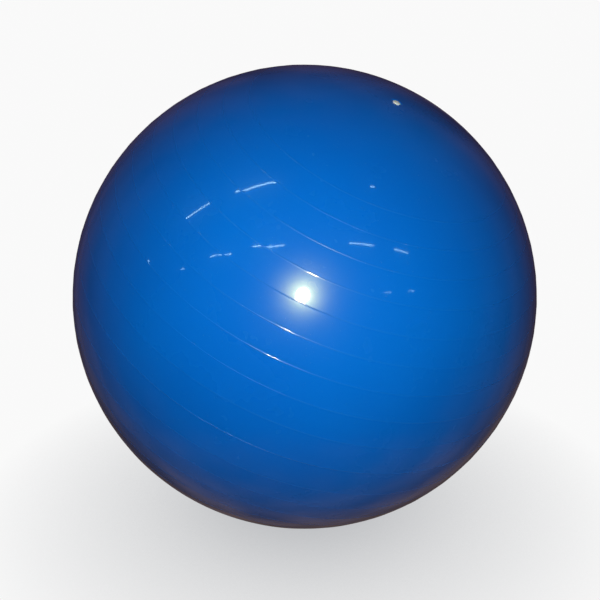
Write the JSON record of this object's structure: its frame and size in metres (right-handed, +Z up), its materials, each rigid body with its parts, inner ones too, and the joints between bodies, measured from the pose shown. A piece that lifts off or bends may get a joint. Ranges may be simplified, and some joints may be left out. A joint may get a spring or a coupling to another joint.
{
  "type": "exercise ball",
  "caption": "Inflatable exercise ball with raised grip rings and a stopper in a fused-in valve that pulls out to let the air in or out.",
  "frame": {"origin": "centre of the ball", "axes": "+Z up from the floor that the ball lies on; the valve's line leans 26.5 degrees from +Z towards +X; XZ is the plane of symmetry"},
  "size_m": [0.6501, 0.6502, 0.65],
  "materials": {
    "blue_skin": "glossy soft PVC, rotation moulded, blue through its thickness",
    "blue_valve": "satin soft PVC, moulded, a little darker than the skin",
    "white_stopper": "satin white polyethylene, injection moulded"
  },
  "bodies": {
    "ball": {"ball_skin": "blue_skin", "valve_sleeve": "blue_valve"},
    "plug": {"valve_plug": "white_stopper"}
  },
  "joints": [
    {"name": "plug_pull", "type": "slide", "parent": "ball", "child": "plug", "axis": [0.4462, 0, 0.8949], "range_m": [0, 0.02]}
  ]
}
